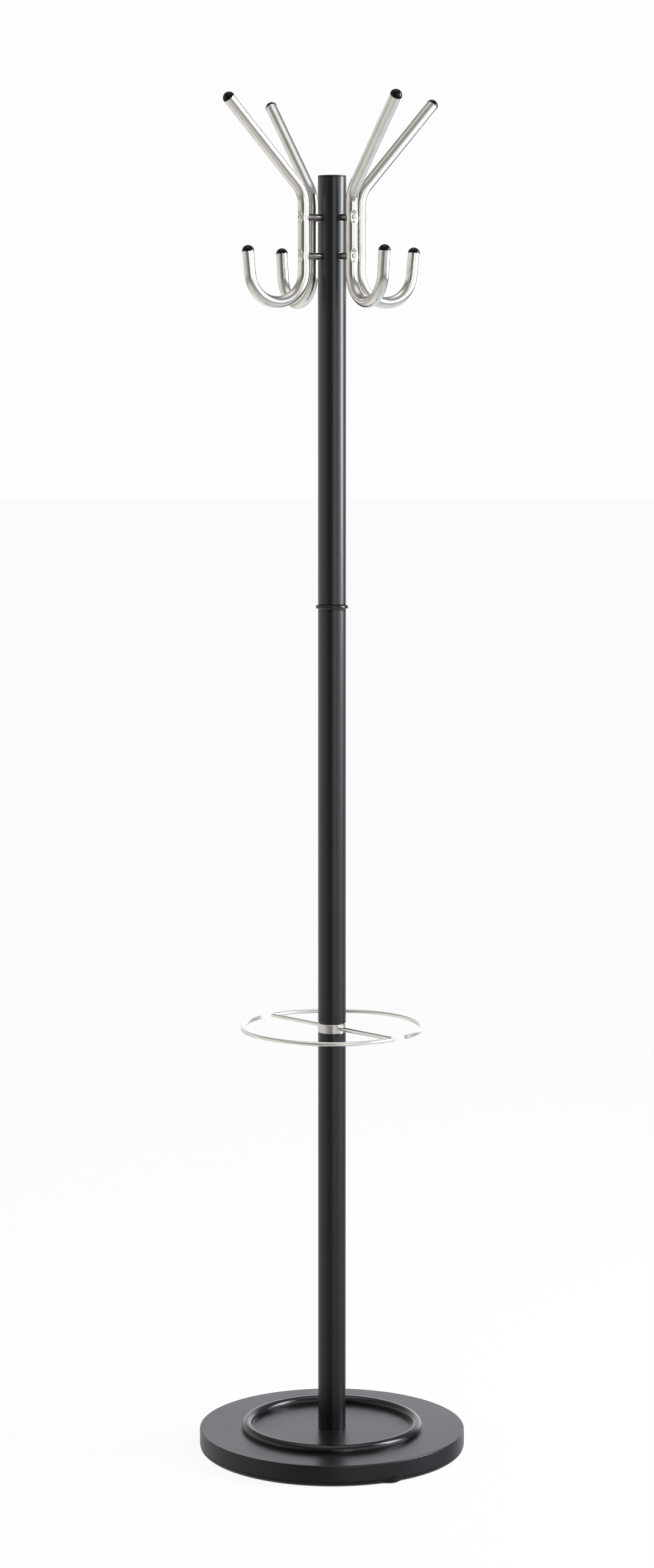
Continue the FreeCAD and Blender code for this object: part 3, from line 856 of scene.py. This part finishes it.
# ---------------------------------------------------------------- hooks
@dataclass
class HookHead:
    """Four double hooks of bent tube, pressed for their screws."""

    tube_radius: float = 0.008
    tube_sides: int = 64
    shank_distance: float = 0.0455
    u_radius: float = 0.0406
    u_drop: float = 0.1241
    leg: float = 0.0302
    leg_lean: float = 6.0
    shank: float = 0.0877
    bend_radius: float = 0.038
    arm_lean: float = 43.0
    arm: float = 0.1493
    first_angle: float = 34.6
    twist: float = 4.5
    screw_drops: tuple[float, float] = (0.0533, 0.1040)
    seat_radius: float = 0.0041
    seat_depth: float = 0.0019
    seat_blend: float = 0.006
    leg_rings: int = 8
    u_rings: int = 44
    shank_rings: int = 70
    bend_rings: int = 14
    arm_rings: int = 30
    names: tuple[str, ...] = ("back_right", "back_left", "front_left", "front_right")
    top: float = field(init=False)

    def build(self) -> None:
        """Bends one hook, copies it round the pole and dresses the head."""
        self.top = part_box("upper_tube")[1].z
        pattern = self.bend_tube()
        for drop in self.screw_drops:
            self.press_cup(pattern, self.top - drop)
        pattern.data.materials.append(TUBE_STEEL.material())
        for index, name in enumerate(self.names):
            turn = Matrix.Rotation(math.radians(self.first_angle + 90 * index), 4, "Z")
            place = turn @ Matrix.Translation((self.shank_distance, 0.0, 0.0))
            hook = placed_copy(pattern, "bent_hook_" + name, place)
            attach(hook, "hook_head")
            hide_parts("hook_" + name)
            dress_node("hook_screws_" + name, SCREW_STEEL)
            LOG.info("%s: %d faces", hook.name, len(hook.data.polygons))
        bpy.data.objects.remove(pattern)

    def bend_tube(self) -> bpy.types.Object:
        """Bends the tube from the tip of its short leg to the tip of its arm.

        Returns:
            The hook, with its shank on the Z axis and its screws facing +X.
        """
        lean = math.radians(self.leg_lean)
        ahead = Matrix.Rotation(math.radians(-self.twist), 3, "Z") @ Vector((1.0, 0.0, 0.0))
        side = ahead.cross(UP)
        u_centre = ahead * self.u_radius + UP * (self.top - self.u_drop)
        leg_way = ahead * math.sin(lean) + UP * math.cos(lean)
        leg_foot = u_centre + (ahead * math.cos(lean) - UP * math.sin(lean)) * self.u_radius
        tip = leg_foot + leg_way * self.leg
        bender = TubeBender("hook_pattern", self.tube_radius, tip, -leg_way, self.tube_sides)
        bender.straight(self.leg, self.leg_rings)
        bender.bend(u_centre, side, -(180 - self.leg_lean), self.u_rings)
        bender.straight(self.shank, self.shank_rings)
        bend_centre = ahead * self.bend_radius + UP * bender.end.z
        bender.bend(bend_centre, side, -self.arm_lean, self.bend_rings)
        bender.straight(self.arm, self.arm_rings)
        return bender.finish(side)

    def press_cup(self, tube: bpy.types.Object, height: float) -> None:
        """Presses the shallow cup that a screw's head sits in.

        Args:
            tube: The bent tube.
            height: The screw's height.
        """
        seat = Vector((self.tube_radius - self.seat_depth, 0.0, height))

        def under_head(place: Vector) -> bool:
            """Whether a point lies under the screw's head."""
            near_shank = 0 < place.x < 2 * self.tube_radius
            return near_shank and math.hypot(place.y, place.z - height) < self.seat_radius

        select_points(tube, under_head)
        in_edit_mode(tube)
        bpy.ops.transform.resize(
            value=(0.0, 1.0, 1.0), center_override=seat, use_proportional_edit=True,
            proportional_edit_falloff="SMOOTH", proportional_size=self.seat_blend)
        bpy.ops.object.mode_set(mode="OBJECT")


# ---------------------------------------------------------------- umbrella holder
@dataclass
class UmbrellaHolder:
    """Two bent rods that leave a turned collar."""

    rod_radius: float = 0.003
    rod_sides: int = 24
    root: float = 0.0155
    ring_radius: float = 0.122
    bend_radius: float = 0.006
    sweep: float = 169.0
    first_angle: float = -46.5
    end_edge: float = 0.0005
    end_segments: int = 2
    tip_reach: float = 0.00303
    root_rings: int = 24
    bend_rings: int = 18
    sweep_rings: int = 150
    names: tuple[str, ...] = ("front", "back")
    height: float = field(init=False)
    tip: Vector = field(init=False)

    def build(self) -> None:
        """Bends one rod, copies it to the other side and dresses both."""
        low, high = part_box("umbrella_collar")
        self.height = (low.z + high.z) / 2
        pattern = self.bend_rod()
        self.trim_tip(pattern)
        pattern.data.materials.append(LIT_ROD_STEEL.material())
        for index, name in enumerate(self.names):
            turn = Matrix.Rotation(math.radians(self.first_angle + 180 * index), 4, "Z")
            rod = placed_copy(pattern, "bent_rod_" + name, turn)
            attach(rod, "umbrella_holder")
            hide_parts("umbrella_rod_" + name)
            LOG.info("%s: %d faces", rod.name, len(rod.data.polygons))
        bpy.data.objects.remove(pattern)

    def bend_rod(self) -> bpy.types.Object:
        """Bends a rod: out from the collar, round a tight bend and back along the ring.

        Returns:
            The rod, leaving the pole along +X.
        """
        inner = self.ring_radius - self.bend_radius
        straight_end = math.sqrt(inner ** 2 - self.bend_radius ** 2)
        centre = Vector((straight_end, -self.bend_radius, self.height))
        meeting = math.degrees(math.atan2(self.bend_radius, straight_end))
        start = Vector((self.root, 0.0, self.height))
        bender = TubeBender("rod_pattern", self.rod_radius, start, Vector((1.0, 0.0, 0.0)), self.rod_sides)
        bender.straight(straight_end - self.root, self.root_rings)
        bender.bend(centre, UP, -(90 + meeting), self.bend_rings)
        bender.bend(UP * self.height, UP, -(self.sweep - meeting), self.sweep_rings)
        self.tip = bender.end.copy()
        return bender.finish(UP)

    def trim_tip(self, rod: bpy.types.Object) -> None:
        """Breaks the sharp edge of the cut end.

        Args:
            rod: The bent rod.
        """
        select_points(rod, lambda place: (place - self.tip).length < self.tip_reach)
        in_edit_mode(rod)
        bpy.ops.mesh.select_mode(type=Element.EDGE.value)
        bpy.ops.mesh.region_to_loop()
        bpy.ops.mesh.bevel(offset=self.end_edge, segments=self.end_segments, affect="EDGES")
        bpy.ops.object.mode_set(mode="OBJECT")


# ---------------------------------------------------------------- foot
@dataclass
class Foot:
    """The outside of the weighted foot: cover, rubber edging and drip ring."""

    trim_height: float = 0.008
    trim_width: float = 0.0145
    trim_inset: float = 0.00025
    trim_rounding: float = 0.985
    trim_segments: int = 10
    trim_steps: int = 360
    joint_angle: float = -57.5
    joint_gap: float = 0.0005
    bulge: float = 0.005
    bulge_reach: float = 0.014
    bulge_turn: float = 5.5
    bulge_share: float = 0.8
    cover_wall: float = 0.0012
    cover_edge: float = 0.0018
    cover_bend: float = 0.00234
    cover_segments: int = 8
    cover_hole: float = 0.0052
    cover_sides: int = 240
    radius: float = field(init=False)

    def build(self) -> None:
        """Makes the cover and the edging and dresses the drip ring."""
        low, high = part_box("base_cover")
        self.radius = high.x - self.trim_inset
        cover = self.draw_cover(min(high.x, -low.x, high.y, -low.y), low.z, high.z)
        edging = self.turn_edging()
        self.ease_joint(edging)
        for piece, node, finish in ((cover, "base_cover", SHADED_FOOT_COAT), (edging, "edge_trim", RUBBER)):
            piece.data.materials.append(finish.material())
            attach(piece, "root")
            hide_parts(node)
            LOG.info("%s: %d faces", piece.name, len(piece.data.polygons))
        dress_node("drip_ring", DRIP_PLASTIC)

    def draw_cover(self, radius: float, bottom: float, top: float) -> bpy.types.Object:
        """Draws the pressed cover out of one ring: wall, rounded rim, top and inside.

        Args:
            radius: Its outside radius.
            bottom: The height of its wall's lower edge.
            top: The height of its flat top.

        Returns:
            The cover.
        """
        cover = new_ring("pressed_cover", radius, self.cover_sides, UP * bottom, Euler())
        bend = radius - self.cover_bend
        inside = radius - self.cover_wall
        under = top - self.cover_wall
        rings = [(radius, top - self.cover_bend), (radius, top), (bend, top), (self.cover_hole, top)]
        rings += [(self.cover_hole, under), (inside, under), (inside, bottom), (radius, bottom)]
        reach, height = radius, bottom
        for next_reach, next_height in rings:
            move = (0.0, 0.0, next_height - height)
            bpy.ops.mesh.extrude_region_move(TRANSFORM_OT_translate={"value": move})
            scale = next_reach / reach
            bpy.ops.transform.resize(value=(scale, scale, 1.0), center_override=(0.0, 0.0, next_height))
            reach, height = next_reach, next_height
        close_up(cover)
        near = 10 * MERGE_DISTANCE
        select_points(cover, lambda place: place.z > top - near and place.xy.length > radius - near)
        in_edit_mode(cover, Element.EDGE)
        bpy.ops.mesh.bevel(offset=self.cover_edge, segments=self.cover_segments, affect="EDGES")
        bpy.ops.object.mode_set(mode="OBJECT")
        bpy.ops.object.shade_smooth_by_angle(angle=SMOOTH_ANGLE)
        return cover

    def turn_edging(self) -> bpy.types.Object:
        """Turns the strip's section round the foot, open at its butt joint.

        Returns:
            The edging.
        """
        start = math.radians(self.joint_angle) + self.joint_gap / self.radius / 2
        middle = self.radius - self.trim_width / 2
        place = (middle, 0.0, self.trim_height / 2)
        bpy.ops.object.select_all(action="DESELECT")
        bpy.ops.mesh.primitive_plane_add(size=1.0, location=place, rotation=(math.radians(90), 0.0, 0.0))
        edging = bpy.context.object
        edging.name = "rubber_edging"
        edging.data.name = "rubber_edging"
        edging.scale = (self.trim_width, self.trim_height, 1.0)
        bpy.ops.object.transform_apply(location=True, rotation=True, scale=True)
        select_points(edging, lambda place: place.x > middle and place.z < self.trim_height / 2)
        in_edit_mode(edging)
        rounding = self.trim_height * self.trim_rounding
        bpy.ops.mesh.bevel(offset=rounding, segments=self.trim_segments, affect="VERTICES")
        bpy.ops.object.mode_set(mode="OBJECT")
        edging.data.transform(Matrix.Rotation(start, 4, "Z"))
        in_edit_mode(edging)
        bpy.ops.mesh.select_all(action="SELECT")
        sweep = 2 * math.pi - self.joint_gap / self.radius
        bpy.ops.mesh.spin(steps=self.trim_steps, angle=-sweep, center=(0.0, 0.0, 0.0), axis=UP)
        close_up(edging)
        bpy.ops.object.shade_smooth_by_angle(angle=SMOOTH_ANGLE)
        return edging

    def ease_joint(self, edging: bpy.types.Object) -> None:
        """Lets the strip's toe creep outwards a little before its joint.

        Args:
            edging: The edging.
        """
        turn = math.radians(self.joint_angle - self.bulge_turn)
        out = Vector((math.cos(turn), math.sin(turn), 0.0))
        toe = out * (self.radius - self.trim_height * self.bulge_share)
        select_points(edging, lambda place: (place - toe).length < self.bulge * self.bulge_share)
        in_edit_mode(edging)
        bpy.ops.transform.translate(
            value=out * self.bulge, use_proportional_edit=True, proportional_edit_falloff="SMOOTH",
            proportional_size=self.bulge_reach)
        bpy.ops.object.mode_set(mode="OBJECT")


def dress_frame() -> None:
    """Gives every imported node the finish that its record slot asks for."""
    for part in frame["record"]["subparts"]:
        dress_node(part["node"], BY_SLOT[part["material_slot"]])
    dress_node("joint_ring", JOINT_PLASTIC)


def main() -> None:
    """Builds the studio and the pieces in order."""
    logging.basicConfig(level=logging.INFO, format="%(message)s")
    Studio().build()
    dress_frame()
    for assembly in (Foot(), UmbrellaHolder(), HookHead()):
        assembly.build()
        LOG.info("%s finished", type(assembly).__name__)


if __name__ == "__main__":
    main()
